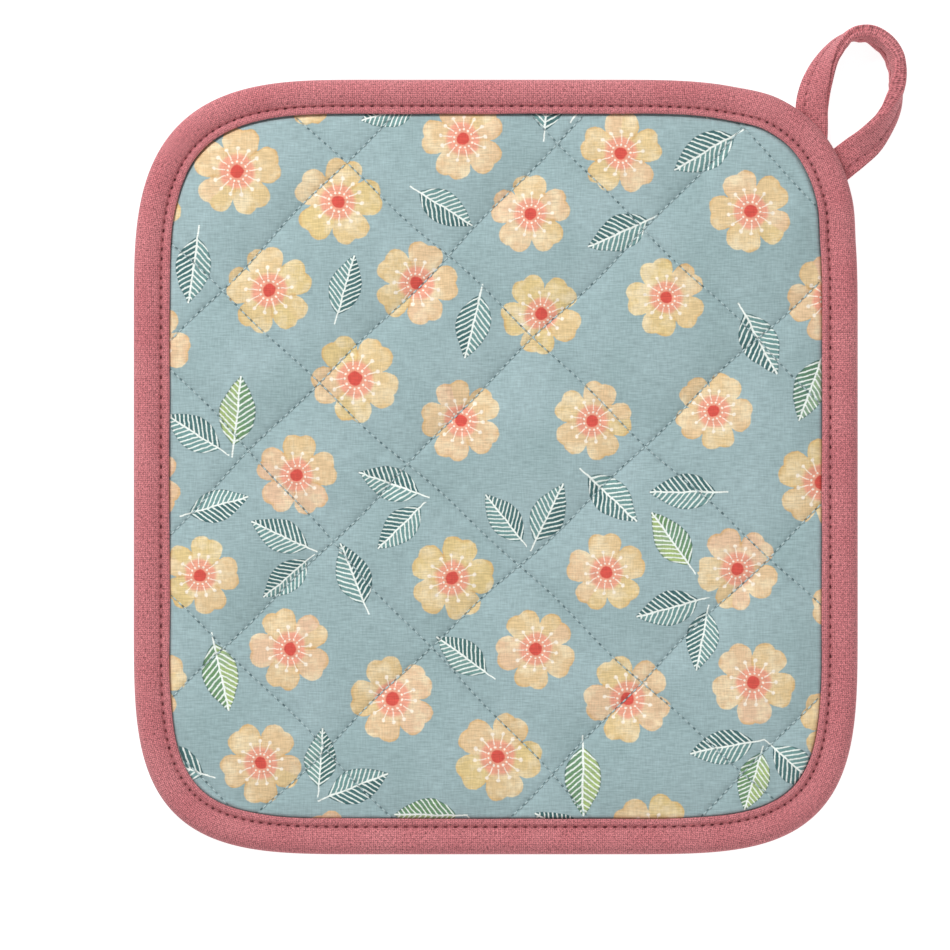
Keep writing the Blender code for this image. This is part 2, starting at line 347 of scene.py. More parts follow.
@dataclass(frozen=True)
class LeafInk:
    """Almond leaves with a pale midrib and side veins, darker on one half."""

    vein_pairs: float = 6.0
    half_width: float = 0.54
    teal: str = "#3F6869"
    sea: str = "#739997"
    olive: str = "#A8BE7C"
    moss: str = "#6F9568"
    vein: str = "#F3FAF4"
    line: str = "#25474C"

    def build(self, graph: Graph, spot: Node, facts: Node, wash: Node) -> tuple:
        """Draw a leaf along the motif's X, from its foot at -1 to its tip at 1.

        Args:
            graph: The material's graph.
            spot: Coordinates in the motif.
            facts: The motif's kind, tone and tint, as three outputs.
            wash: The watercolour's uneven pigment, about 0 to 1.

        Returns:
            The leaf's mask and colour nodes.
        """
        along, across = graph.parts(spot).outputs[:2]
        low = graph.math('POWER', graph.fit(along, -1.0, 1.0), 0.82)
        wave = graph.math('SINE', graph.math('MULTIPLY', low, math.pi))
        side = graph.math('ABSOLUTE', across)
        depth = graph.math('SUBTRACT', graph.math('MULTIPLY_ADD', wave, self.half_width, -0.012), side)
        body = graph.fit(depth, 0.0, 0.03)
        upper = graph.math('GREATER_THAN', across, 0.0)
        colour = graph.blend(graph.fit(facts.outputs[2], 0.62, 0.80),
                             graph.blend(upper, self.teal, self.sea),
                             graph.blend(upper, self.moss, self.olive))
        colour = graph.blend(graph.fit(wash, 0.42, 0.72, top=0.5), colour, self.sea)
        colour = graph.blend(graph.fit(depth, 0.06, 0.02, top=0.85), colour, self.line)
        bent = graph.math('SUBTRACT', along, graph.math('MULTIPLY', side, 0.8))
        near = graph.math('ABSOLUTE', graph.centred(graph.math('MULTIPLY', bent, self.vein_pairs)))
        veins = graph.math('MULTIPLY', graph.fit(near, 0.22, 0.11, top=0.9), body)
        stem = graph.math('MULTIPLY', graph.fit(side, 0.034, 0.018), graph.within(along, -1.32, 0.93))
        colour = graph.blend(graph.math('MAXIMUM', veins, stem), colour, self.vein)
        return graph.math('MAXIMUM', body, stem), colour


@dataclass(frozen=True)
class PlainCotton:
    """Dyed cotton without print: one colour, with yarns a little lighter and darker, and painted shade in
    its stitch holes.
    """

    name: str
    colour: str
    worn: str
    # Colour of the painted shade in the stitch holes.
    hole_shade: str
    weave: Weave
    row: NeedleRow
    # How far the stitch holes darken towards the painted shade colour.
    hole_shade_share: float = 0.95
    cloud_size: float = 14 * MM
    roughness: float = 0.9

    def place(self, graph: Graph) -> tuple:
        """Coordinates on the cloth, and the metres in one unit of them."""
        return graph.chart("cloth").outputs[0], MM

    def ink(self, graph: Graph, place: Socket, colour: Node) -> Node:
        """The ground with its print, which this cotton hasn't got."""
        return colour

    def build(self) -> Material:
        """Make the cotton's material."""
        material, graph, shader = start_material(self.name)
        place, unit = self.place(graph)
        bright, bump = self.weave.build(graph, place, unit)
        patches = graph.fit(graph.noise(place, unit / self.cloud_size, 3.0), 0.35, 0.7)
        colour = self.ink(graph, place, graph.blend(patches, self.colour, self.worn))
        holes, bump = self.row.build(graph, bump)
        # Painted shade: the stitch holes are darkened towards the hole shade colour.
        colour = graph.blend(graph.math('MULTIPLY', holes, self.hole_shade_share), colour, self.hole_shade)
        finish_cloth(graph, shader, graph.scaled(colour, bright), bump, self.roughness)
        return material


@dataclass(frozen=True)
class PrintedCotton(PlainCotton):
    """Printed plain-weave cotton, matt and crisp: the eye reads ink that has sunk into the threads."""

    # The painted shade in the stitch holes is stronger on the print.
    hole_shade_share: float = 0.85
    cloud_size: float = 22 * MM
    roughness: float = 0.92
    wash_size: float = 5 * MM
    wobble: float = 0.13
    bloom: BloomInk = BloomInk()
    leaf: LeafInk = LeafInk()

    def place(self, graph: Graph) -> tuple:
        """The pad's own coordinates, in metres."""
        return graph.object_place(), 1.0

    def ink(self, graph: Graph, place: Socket, colour: Node) -> Node:
        """The ground with the leaves and then the blossoms printed over it."""
        wash = graph.noise(place, 1 / self.wash_size, 4.0, 0.62)
        shift = graph.vector('SUBTRACT', wash.outputs["Color"], (0.5, 0.5, 0.5))
        spot = graph.vector('ADD', graph.chart("motif_place"), graph.scaled(shift, self.wobble))
        facts = graph.parts(graph.add("Attribute", attribute_name="motif").outputs["Vector"])
        for ink, kind in ((self.leaf, MotifKind.LEAF), (self.bloom, MotifKind.BLOOM)):
            mask, drawn = ink.build(graph, spot, facts, wash)
            here = graph.math('COMPARE', facts.outputs[0], float(kind.value), 0.25)
            colour = graph.blend(graph.math('MULTIPLY', mask, here), colour, drawn)
        return colour


@dataclass(frozen=True)
class Thread:
    """Spun polyester sewing thread: a faint shine on tight round stitches."""

    name: str
    colour: str
    ply: float = 0.25 * MM

    def build(self) -> Material:
        """Make the thread's material, with its plies as fine bump."""
        material, graph, shader = start_material(self.name)
        plies = graph.noise(graph.object_place(), 1 / self.ply)
        shaded = [part * 0.8 for part in linear(self.colour)[:3]] + [1.0]
        colour = graph.blend(graph.fit(plies, 0.3, 0.7), shaded, self.colour)
        bump = graph.add("Bump", {"Height": plies, "Strength": 0.4, "Distance": 0.05 * MM})
        finish_cloth(graph, shader, colour, bump, 0.7)
        return material


class Side(Enum):
    """The pad's two sides, each with the direction along Z that it faces."""

    FACE = 1.0
    BACK = -1.0


def in_mm(*rows: tuple) -> tuple:
    """A table's rows, brought from millimetres to metres."""
    return tuple(tuple(value * MM for value in row) for row in rows)


def smooth_ramp(value: Array, start: float, end: float) -> Array:
    """Smooth step from 0 at start to 1 at end."""
    share = np.clip((np.asarray(value) - start) / (end - start), 0.0, 1.0)
    return share * share * (3.0 - 2.0 * share)


def bell(value: Array, reach: float) -> Array:
    """1 at 0, falling away smoothly within about the reach."""
    return np.exp(-(value / reach) ** 2)


def soft_rows(rows: tuple, position: Array, column: int, blur: float) -> Array:
    """Read a table's column at positions in its first column, its corners rounded by a blur."""
    places = [row[0] for row in rows]
    values = [row[column] for row in rows]
    shifts = np.linspace(-blur, blur, 7)
    return sum(np.interp(position + shift, places, values) for shift in shifts) / len(shifts)


def read_line(position: Array, places: Array, rows: Array) -> Array:
    """Read rows of values at positions between their places."""
    return np.column_stack([np.interp(position, places, column) for column in rows.T])


def run_lengths(points: Array) -> Array:
    """Distances along a line of points, from 0."""
    return np.concatenate(((0.0,), np.cumsum(np.linalg.norm(np.diff(points, axis=0), axis=1))))


def unit_rows(rows: Array) -> Array:
    """Rows scaled to length 1."""
    return rows / np.linalg.norm(rows, axis=1)[:, None]


def unevenness(points: Array, size: float, seed: int) -> Array:
    """Smooth noise from about -1 to 1 at rows of two or three coordinates, in lumps of a size."""
    shift = Vector((17.3 * seed, -9.1 * seed, 4.7 * seed))
    scaled = np.zeros((len(points), 3))
    scaled[:, :points.shape[1]] = points / size
    return np.array([noise.noise(Vector(row) + shift) for row in scaled])


def mesh_of(name: str, shape: bmesh.types.BMesh) -> Mesh:
    """Turn a shape into a new mesh, and free the shape."""
    mesh = bpy.data.meshes.new(name)
    shape.to_mesh(mesh)
    shape.free()
    return mesh


def read_points(mesh: Mesh) -> Array:
    """The mesh's points as rows of three."""
    points = np.empty(len(mesh.vertices) * 3, dtype=np.float32)
    mesh.vertices.foreach_get("co", points)
    return points.reshape(-1, 3).astype(float)


def write_points(mesh: Mesh, points: Array) -> None:
    """Move the mesh's points to new places."""
    mesh.vertices.foreach_set("co", np.ascontiguousarray(points, dtype=np.float32).ravel())
    mesh.update()


def corners_of(mesh: Mesh) -> Array:
    """The point of each face corner."""
    corners = np.empty(len(mesh.loops), dtype=np.int32)
    mesh.loops.foreach_get("vertex_index", corners)
    return corners


def write_map(mesh: Mesh, name: str, values: Array) -> None:
    """Give the mesh a map, with a row for each face corner."""
    mesh.uv_layers.new(name=name).data.foreach_set("uv", values.astype(np.float32).ravel())


def cloth_grid(name: str, counts: tuple, width: float, steps: Array) -> tuple:
    """A flat grid mesh with the cloth map, in the cloth's real millimetres.

    Args:
        name: The mesh's name.
        counts: Faces along X and along Y.
        width: The cloth's width along X.
        steps: Places on the cloth along Y, evenly spread over the grid.

    Returns:
        The mesh, its points' places on the grid as rows of (u, v) from 0 to 1, and the map's rows.
    """
    shape = bmesh.new()
    bmesh.ops.create_grid(shape, x_segments=counts[0], y_segments=counts[1], size=0.5)
    mesh = mesh_of(name, shape)
    grid = read_points(mesh)[:, :2] + 0.5
    spots = grid[corners_of(mesh)]
    across = np.interp(spots[:, 1], np.linspace(0, 1, len(steps)), steps)
    chart = np.column_stack((spots[:, 0] * width, across)) / MM
    write_map(mesh, "cloth", chart)
    return mesh, grid, chart


def sweep(name: str, section: Array, total: float, count: int) -> tuple:
    """Start a folded tape: a grid mesh with a row for each point of its section.

    Args:
        name: The mesh's name.
        section: The tape's section.
        total: The tape's length.
        count: Faces along the length.

    Returns:
        The mesh, its cloth map, the section's running lengths, and each point's row and place along.
    """
    steps = run_lengths(section[:, :2])
    last = len(section) - 1
    mesh, grid, chart = cloth_grid(name, (count, last), total, steps)
    return mesh, chart, steps, np.rint(grid[:, 1] * last).astype(int), grid[:, 0] * total


def place_piece(name: str, mesh: Mesh, materials: tuple) -> Piece:
    """Put a mesh in the scene as a smooth piece that rides on the part's body.

    Args:
        name: The piece's name.
        mesh: Its mesh, in place.
        materials: Its materials, in the order of the mesh's slots.

    Returns:
        The new object.
    """
    for material in materials:
        mesh.materials.append(material)
    mesh.shade_smooth()
    piece = bpy.data.objects.new(name, mesh)
    bpy.context.scene.collection.objects.link(piece)
    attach(piece, BODY)
    LOG.info("%s: %d faces", name, len(mesh.polygons))
    return piece


def thicken(piece: Piece, thickness: float, offset: float) -> None:
    """Give a sheet its thickness: an offset of -1 grows it inwards, and 0 to both sides."""
    wall = piece.modifiers.new("cloth_thickness", 'SOLIDIFY')
    wall.thickness = thickness
    wall.offset = offset
    wall.use_even_offset = False


def sew(name: str, places: list, length: float, radius: float, material: Material) -> Piece:
    """Join many stitches into one piece.

    Args:
        name: The piece's name.
        places: For each stitch, its middle, its direction and its normal.
        length: A stitch's length.
        radius: The thread's radius.
        material: The thread.

    Returns:
        The stitches.
    """
    shape = bmesh.new()
    bmesh.ops.create_uvsphere(shape, u_segments=6, v_segments=5, radius=1.0)
    bmesh.ops.transform(shape, matrix=Matrix.Rotation(math.pi / 2, 4, 'Y'), verts=shape.verts[:])
    bmesh.ops.scale(shape, vec=(length / 2, radius * 1.15, radius), verts=shape.verts[:])
    stitch = mesh_of("stitch", shape)
    row = bmesh.new()
    for middle, direction, normal in places:
        along = Vector(direction).normalized()
        up = Vector(normal)
        up = (up - along * up.dot(along)).normalized()
        turn = Matrix((along, up.cross(along), up)).transposed().to_4x4()
        turn.translation = Vector(middle)
        stitch.transform(turn)
        row.from_mesh(stitch)
        stitch.transform(turn.inverted())
    bpy.data.meshes.remove(stitch)
    return place_piece(name, mesh_of(name, row), (material,))


@dataclass
class LoopSeat:
    """Where the hanging loop's legs lie under the binding, which rises over them."""

    point: tuple = (90.6 * MM, 89.6 * MM)
    full_reach: float = 17 * MM
    fade_reach: float = 30 * MM
    fade_inset: float = 22 * MM
    push: float = 0.6 * MM
    lift_under: float = 2.3 * MM
    lift_over: float = 1.6 * MM

    def share(self, edge: Array) -> Array:
        """How fully the binding is raised at points of the edge, 0 to 1."""
        distance = np.linalg.norm(edge - np.array(self.point), axis=1)
        return 1.0 - smooth_ramp(distance, self.full_reach, self.fade_reach)


@dataclass
class PadOutline:
    """The finished pad's edge: straight sides and superellipse corners.

    Each corner is its side in X and in Y, its reach, and its power.
    """

    width: float
    length: float
    seat: LoopSeat
    corners: tuple = ((1, 1, 70 * MM, 3.5), (-1, 1, 64 * MM, 3.2), (-1, -1, 66 * MM, 3.7),
                      (1, -1, 66 * MM, 3.7))
    evenness: float = 0.8
    spacing: float = 0.5 * MM
    points: Array = field(init=False)
    normals: Array = field(init=False)
    places: Array = field(init=False)

    def __post_init__(self) -> None:
        """Work out evenly spaced points round the edge, anticlockwise."""
        turn = np.linspace(0.0, math.pi / 2, 300)
        arc = np.column_stack((np.cos(turn), np.sin(turn))).clip(0.0) ** self.evenness
        points = []
        normals = []
        for across, along, reach, power in self.corners:
            step = 1 if across == along else -1
            signs = np.array((across, along))
            centre = signs * (np.array((self.width, self.length)) / 2 - reach)
            size = (arc ** power).sum(axis=1)[:, None] ** (1 / power)
            points.append((centre + signs * arc / size * reach)[::step])
            normals.append((signs * arc ** (power - 1))[::step])
        points = np.vstack(points + [points[0][:1]])
        normals = unit_rows(np.vstack(normals + [normals[0][:1]]))
        points += normals * (self.seat.push * self.seat.share(points))[:, None]
        lengths = run_lengths(points)
        count = round(lengths[-1] / self.spacing)
        self.places = np.arange(count + 1) * lengths[-1] / count
        self.points = read_line(self.places, lengths, points)
        self.normals = unit_rows(read_line(self.places, lengths, normals))

    @property
    def total(self) -> float:
        """The edge's length all round."""
        return float(self.places[-1])

    def at(self, place: Array) -> tuple:
        """Points and outward normals of the edge at distances along it."""
        wrapped = np.mod(place, self.total)
        normals = read_line(wrapped, self.places, self.normals)
        return read_line(wrapped, self.places, self.points), unit_rows(normals)

    def inset_of(self, points: Array) -> tuple:
        """How far rows of (x, y) lie inside the edge, and the edge's nearest points."""
        nearest = np.empty(len(points), dtype=int)
        for start in range(0, len(points), 2000):
            block = points[start:start + 2000]
            gaps = ((block[:, None, :] - self.points[None, :, :]) ** 2).sum(axis=2)
            nearest[start:start + 2000] = gaps.argmin(axis=1)
        edge = self.points[nearest]
        return ((edge - points) * self.normals[nearest]).sum(axis=1), edge


@dataclass
class Quilting:
    """The diamond quilting's seams, by heading in degrees and millimetres left of the pad's middle."""

    seams: tuple = (
        (45.0, 88.2), (45.0, 50.7), (45.0, 17.5), (43.4, -24.1), (45.0, -70.6), (45.0, -107.7),
        (-45.0, 113.6), (-45.0, 75.5), (-43.2, 33.1), (-42.7, -15.9), (-47.0, -47.0), (-45.0, -88.4),
        (-45.0, -117.9))
    wander: float = 0.8 * MM
    wander_length: float = 45 * MM

    def frame_of(self, seam: tuple) -> tuple:
        """A seam's unit direction and the unit normal to its left."""
        angle = math.radians(seam[0])
        return np.array((math.cos(angle), math.sin(angle))), np.array((-math.sin(angle), math.cos(angle)))

    def offset(self, index: int, along: Array) -> Array:
        """How far left of the pad's middle a hand-guided seam runs, at distances along it."""
        phase = 1.7 * index
        wave = np.sin(along / self.wander_length * math.tau + phase)
        slow = np.sin(along / self.wander_length * 2.6 + 2.1 * phase)
        return self.seams[index][1] * MM + self.wander * (0.45 * wave + 0.55 * slow)

    def read(self, points: Array) -> tuple:
        """Places along every seam and signed distances from it.

        Args:
            points: Rows of (x, y).

        Returns:
            Two arrays with a row for each point and a column for each seam.
        """
        alongs = []
        gaps = []
        for index, seam in enumerate(self.seams):
            direction, normal = self.frame_of(seam)
            alongs.append(points @ direction)
            gaps.append(points @ normal - self.offset(index, alongs[-1]))
        return np.column_stack(alongs), np.column_stack(gaps)


@dataclass
class QuiltedPad:
    """The filled pad: crowned diamonds between stitched seams, pinched under the binding.

    The rim's rows are (inset from the edge, height of the back, height of the face).
    """

    outline: PadOutline
    seat: LoopSeat
    quilting: Quilting
    rim_rows: tuple = in_mm(
        (1.7, 2.9, 4.1), (2.6, 1.8, 5.0), (4.4, 1.45, 5.4), (7.5, 1.85, 3.9), (9.4, 1.6, 4.0),
        (9.9, 1.5, 4.6), (10.4, 1.3, 5.4), (11.4, 0.8, 6.1), (13.5, 0.2, 6.9), (18.0, 0.0, 7.9),
        (28.0, 0.0, 8.7))
    face_blur: float = 0.25 * MM
    back_blur: float = 0.6 * MM
    field_inset: float = 10.2 * MM
    edge_inset: float = 1.9 * MM
    cell: float = 1.03 * MM
    fine_band: tuple = (0.865, 0.93)
    seam_depth: float = 2.5 * MM
    seam_spread: float = 6.5 * MM
    seam_round: float = 0.7 * MM
    seam_rise: float = 1.3 * MM
    seam_flat_from: float = 8.0 * MM
    pucker: float = 0.28 * MM
    pucker_pitch: float = 6.5 * MM
    pucker_reach: float = 4.5 * MM
    pucker_drift: float = 0.9
    drift_size: float = 14 * MM
    patch_size: float = 30 * MM
    lump: float = 0.35 * MM
    lump_size: float = 26 * MM

    def spread_grid(self, grid: Array) -> Array:
        """Map a unit grid onto the pad's rounded outline, even in the middle.

        Args:
            grid: Rows of (u, v) from 0 to 1.

        Returns:
            Rows of (x, y).
        """
        half = np.array((self.outline.width, self.outline.length)) / 2 - self.edge_inset
        inner, outer = self.fine_band
        shares = np.array((0.0, inner, 2 * outer - inner, 1 + outer - inner)) / (1 + outer - inner)
        unit = grid * 2 - 1
        unit = np.sign(unit) * np.interp(np.abs(unit), shares, (0.0, inner, outer, 1.0))
        square = np.abs(unit).max(axis=1)
        flat = unit * half
        ring = self.outline.points - self.outline.normals * self.edge_inset
        ring_angle = np.arctan2(ring[:, 1], ring[:, 0])
        order = np.argsort(ring_angle)
        angle = np.arctan2(flat[:, 1], flat[:, 0])
        reach = np.interp(angle, ring_angle[order], np.linalg.norm(ring, axis=1)[order], period=math.tau)
        length = np.linalg.norm(flat, axis=1)
        full = np.where(square > 0, length / np.maximum(square, 1e-9), 1.0)
        ratio = np.where(length > 0, reach / np.maximum(full, 1e-9), 1.0)
        return flat * (1.0 + (ratio - 1.0) * square ** 3)[:, None]

    def face_height(self, points: Array) -> Array:
        """Height of the quilted face at rows of (x, y)."""
        inset, edge = self.outline.inset_of(points)
        along, gap = self.quilting.read(points)
        soft = np.sqrt(gap ** 2 + self.seam_round ** 2) - self.seam_round
        groove = 1.0 - np.prod(1.0 - np.exp(-soft / self.seam_spread), axis=1)
        rim = soft_rows(self.rim_rows, inset, 2, self.face_blur)
        low = np.interp(self.field_inset, *np.array(self.rim_rows)[:, (0, 2)].T)
        high = self.rim_rows[-1][2]
        open_field = smooth_ramp(inset, self.field_inset - 0.5 * MM, self.field_inset + 2 * MM)
        fullness = np.clip((rim - low) / (high - low), 0.0, 1.0) * open_field
        lift = self.seat.share(edge) * (1 - smooth_ramp(inset, self.field_inset, self.seat.fade_inset))
        uneven = self.lump * unevenness(points, self.lump_size, 1)
        pull = self.puckers(points, along, gap)
        return (rim - self.seam_depth * groove * fullness + lift * self.seat.lift_over
                + (uneven + pull) * fullness)

    def puckers(self, points: Array, along: Array, gap: Array) -> Array:
        """Small gathers that the quilting thread pulls across each seam."""
        nearest = np.abs(gap).argmin(axis=1)
        rows = np.arange(len(points))
        drift = self.pucker_drift * unevenness(points, self.drift_size, 5)
        place = along[rows, nearest] / self.pucker_pitch + drift
        reach = np.abs(gap[rows, nearest])
        strength = np.exp(-reach / self.pucker_reach) * smooth_ramp(reach, 0.0, 1.5 * MM)
        patches = 0.6 + 0.5 * unevenness(points, self.patch_size, 6)
        return self.pucker * np.sin(place * math.tau) * strength * patches

    def back_height(self, points: Array) -> Array:
        """Height of the underside at rows of (x, y): flat in each diamond, raised along the seams."""
        inset, edge = self.outline.inset_of(points)
        gap = self.quilting.read(points)[1]
        groove = np.clip(1.0 - np.abs(gap).min(axis=1) / self.seam_flat_from, 0.0, 1.0) ** 2
        rim = soft_rows(self.rim_rows, inset, 1, self.back_blur)
        fullness = smooth_ramp(inset, self.field_inset, self.seat.fade_inset)
        lift = self.seat.share(edge) * (1 - fullness)
        return rim + self.seam_rise * groove * fullness + lift * self.seat.lift_under

    def build(self, floral: "FloralPrint", face: Material, back: Material) -> Piece:
        """Build the pad as one closed piece.

        Args:
            floral: The print that the face carries.
            face: The printed cotton.
            back: The plain back's cotton.

        Returns:
            The pad.
        """
        crowding = 1 + self.fine_band[1] - self.fine_band[0]
        width, length = self.outline.width, self.outline.length
        counts = (round(width * crowding / self.cell), round(length * crowding / self.cell))
        mesh, grid, _ = cloth_grid("pad_cloth", counts, width, np.array((0.0, length)))
        write_points(mesh, np.column_stack((self.spread_grid(grid), np.zeros(len(grid)))))
        shell = bmesh.new()
        shell.from_mesh(mesh)
        result = bmesh.ops.extrude_face_region(shell, geom=shell.faces[:])
        raised = [item for item in result["geom"] if isinstance(item, bmesh.types.BMVert)]
        bmesh.ops.translate(shell, verts=raised, vec=(0, 0, 1))
        bmesh.ops.recalc_face_normals(shell, faces=shell.faces[:])
        shell.to_mesh(mesh)
        shell.free()
        points = read_points(mesh)
        over = points[:, 2] > 0.5
        points[over, 2] = self.face_height(points[over, :2])
        points[~over, 2] = self.back_height(points[~over, :2])
        write_points(mesh, points)
        faces = np.empty(len(mesh.polygons) * 3, dtype=np.float32)
        mesh.polygons.foreach_get("center", faces)
        middles = faces.reshape(-1, 3)[:, :2].astype(float)
        corners = corners_of(mesh)
        on_face = over[corners].reshape(-1, 4).all(axis=1)
        mesh.polygons.foreach_set("material_index", np.where(on_face, 0, 1).astype(np.int32))
        spots = points[corners, :2]
        floral.chart(mesh, middles, spots)
        self.chart_seams(mesh, middles, spots)
        pad = place_piece("quilted_pad_cloth", mesh, (face, back))
        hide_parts("quilted_pad")
        return pad

    def chart_seams(self, mesh: Mesh, middles: Array, spots: Array) -> None:
        """Give each face its nearest seam's place and distance, in millimetres, as a map.

        Args:
            mesh: The pad's mesh, all of quads.
            middles: The faces' middles.
            spots: The face corners' places.
        """
        nearest = np.repeat(np.abs(self.quilting.read(middles)[1]).argmin(axis=1), 4)
        rows = np.arange(len(spots))
        values = [table[rows, nearest] / MM for table in self.quilting.read(spots)]
        write_map(mesh, "seam", np.column_stack(values))


class MotifKind(Enum):
    """What a motif of the print is."""

    BLOOM = 1
    LEAF = 2


@dataclass
class Motif:
    """One printed motif: its kind, place, turn in radians, and half size, with its tone and tint."""

    kind: MotifKind
    x: float
    y: float
    turn: float
    size: float
    tone: float
    tint: float

    def discs(self) -> list:
        """Round areas that the motif covers, as (x, y, radius)."""
        if self.kind is MotifKind.BLOOM:
            return [(self.x, self.y, self.size)]
        along = (math.cos(self.turn) * self.size, math.sin(self.turn) * self.size)
        return [(self.x + along[0] * share, self.y + along[1] * share, 0.42 * self.size)
                for share in (-0.6, 0.0, 0.6)]

    def local(self, points: Array) -> Array:
        """Places in the motif's own turned and scaled coordinates."""
        shift = points - np.array((self.x, self.y))
        cosine = math.cos(self.turn)
        sine = math.sin(self.turn)
        return np.column_stack((shift @ (cosine, sine), shift @ (-sine, cosine))) / self.size

    def reach(self, points: Array) -> Array:
        """How far out places lie in the motif: 1 is about its edge."""
        local = self.local(points)
        if self.kind is MotifKind.BLOOM:
            return np.linalg.norm(local, axis=1)
        return np.linalg.norm((local + (0.12, 0.0)) / (1.22, 0.62), axis=1)


@dataclass
class FloralPrint:
    """A scattered print of blossoms with leaves between, laid out evenly by chance."""

    width: float
    length: float
    bloom_size: float = 11.9 * MM
    leaf_size: float = 9.5 * MM
    size_range: tuple = (0.92, 1.06)
    bloom_count: int = 42
    sprig_count: int = 33
    fork: float = 0.56
    foot_back: float = 1.25
    leaf_reach: float = 1.32
    sprig_turns: int = 24
    least_room: float = 0.6 * MM
    tries: int = 400
    seed: int = 11
    motifs: list = field(default_factory=list)
    covered: list = field(default_factory=list)

    def lay_out(self) -> None:
        """Choose each motif's place as the clearest of many tries, blossoms first."""
        chance = random.Random(self.seed)
        for _ in range(self.bloom_count):
            x, y = self.clearest(chance)
            size = self.bloom_size * chance.uniform(*self.size_range)
            self.add([Motif(MotifKind.BLOOM, x, y, chance.uniform(0, math.tau), size,
                            chance.random(), chance.random())])
        for _ in range(self.sprig_count):
            self.add(self.best_sprig(chance, *self.clearest(chance)))
        LOG.info("print: %d motifs", len(self.motifs))

    def add(self, motifs: list) -> None:
        """Add motifs and the areas that they cover."""
        self.motifs += motifs
        self.covered += [disc for motif in motifs for disc in motif.discs()]

    def room(self, x: float, y: float) -> float:
        """Distance from a place to the nearest covered area."""
        return min((math.hypot(x - disc[0], y - disc[1]) - disc[2] for disc in self.covered), default=1.0)

    def clearest(self, chance: random.Random) -> tuple:
        """The try that lies farthest from the motifs so far."""
        places = [(chance.uniform(-0.5, 0.5) * self.width, chance.uniform(-0.5, 0.5) * self.length)
                  for _ in range(self.tries)]
        return max(places, key=lambda place: self.room(*place))

    def best_sprig(self, chance: random.Random, x: float, y: float) -> list:
        """One to three leaves from one foot, as many as fit, turned to where they have most room."""
        size = self.leaf_size * chance.uniform(*self.size_range)
        tone = chance.random()
        for leaves in range(chance.choice((1, 2, 2, 3)), 0, -1):
            turns = [(step + chance.random()) / self.sprig_turns * math.tau
                     for step in range(self.sprig_turns)]
            sprig = max([self.make_sprig(x, y, turn, size, leaves, tone) for turn in turns],
                        key=self.sprig_room)
            if self.sprig_room(sprig) > self.least_room or leaves == 1:
                return sprig

    def sprig_room(self, sprig: list) -> float:
        """The least room that any leaf of a sprig has."""
        return min(self.room(disc[0], disc[1]) - disc[2] for leaf in sprig for disc in leaf.discs())

    def make_sprig(self, x: float, y: float, turn: float, size: float, leaves: int, tone: float) -> list:
        """Leaves spread like a fan from one foot, centred on a place.

        Args:
            x: The place's X.
            y: The place's Y.
            turn: The fan's direction in radians.
            size: Half of a leaf's length.
            leaves: How many.
            tone: From 0 to 1, which of the inks they take.

        Returns:
            The leaves' motifs.
        """
        foot_back = self.foot_back * size * (leaves > 1)
        foot = (x - math.cos(turn) * foot_back, y - math.sin(turn) * foot_back)
        reach = self.leaf_reach * size * (leaves > 1)
        motifs = []
        for index in range(leaves):
            lean = turn + (index - (leaves - 1) / 2) * 2 * self.fork
            motifs.append(Motif(MotifKind.LEAF, foot[0] + math.cos(lean) * reach,
                                foot[1] + math.sin(lean) * reach, lean, size * (1 - 0.08 * (index % 2)),
                                tone, (tone * 7 + index * 0.37) % 1.0))
        return motifs

    def chart(self, mesh: Mesh, middles: Array, spots: Array) -> None:
        """Give each face its nearest motif's facts, and its corners their place in the motif.

        Args:
            mesh: The pad's mesh, all of quads.
            middles: The faces' middles.
            spots: The face corners' places.
        """
        reach = np.column_stack([motif.reach(middles) for motif in self.motifs])
        nearest = reach.argmin(axis=1)
        facts = np.array([(motif.kind.value, motif.tone, motif.tint) for motif in self.motifs])[nearest]
        facts[reach.min(axis=1) >= 1.5, 0] = 0.0
        layer = mesh.attributes.new("motif", 'FLOAT_VECTOR', 'FACE')
        layer.data.foreach_set("vector", facts.astype(np.float32).ravel())
        values = np.zeros((len(spots), 2))
        owner = np.repeat(nearest, 4)
        for index, motif in enumerate(self.motifs):
            chosen = owner == index
            values[chosen] = motif.local(spots[chosen])
        write_map(mesh, "motif_place", values)


@dataclass
class QuiltStitches:
    """The quilting thread: short stitches sunk in each seam, on both sides."""

    pad: QuiltedPad
    pitch: float = QUILT_STITCH_PITCH
    length: float = 1.40 * MM
    radius: float = 0.21 * MM
    sink: float = 0.06 * MM
    clearance: float = 0.6 * MM

    def build(self, side: Side, thread: Material) -> Piece:
        """Sew every seam on one side of the pad."""
        places = []
        outline = self.pad.outline
        first = math.ceil(-outline.length / self.pitch)
        along = (np.arange(first, -first) + 1.0) * self.pitch
        for index, seam in enumerate(self.pad.quilting.seams):
            direction, normal = self.pad.quilting.frame_of(seam)
            spots = along[:, None] * direction + self.pad.quilting.offset(index, along)[:, None] * normal
            inside = outline.inset_of(spots)[0] > self.pad.field_inset + self.clearance
            within = np.abs(spots) < np.array((outline.width, outline.length)) / 2
            spots = spots[inside & within.all(axis=1)]
            if len(spots):
                places += self.lay(spots, direction, side)
        return sew(f"quilting_thread_{side.name.lower()}", places, self.length, self.radius, thread)

    def lay(self, spots: Array, direction: Array, side: Side) -> list:
        """Lay stitches on the cloth's surface at spots of one seam."""
        height = self.pad.face_height if side is Side.FACE else self.pad.back_height
        step = direction * 0.5 * MM
        slope = (height(spots + step) - height(spots - step)) / (1.0 * MM)
        rise = side.value * (self.radius * 0.5 - self.sink)
        return [((*spot, level + rise), (*direction, tilt), (0.0, 0.0, side.value))
                for spot, level, tilt in zip(spots, height(spots), slope)]


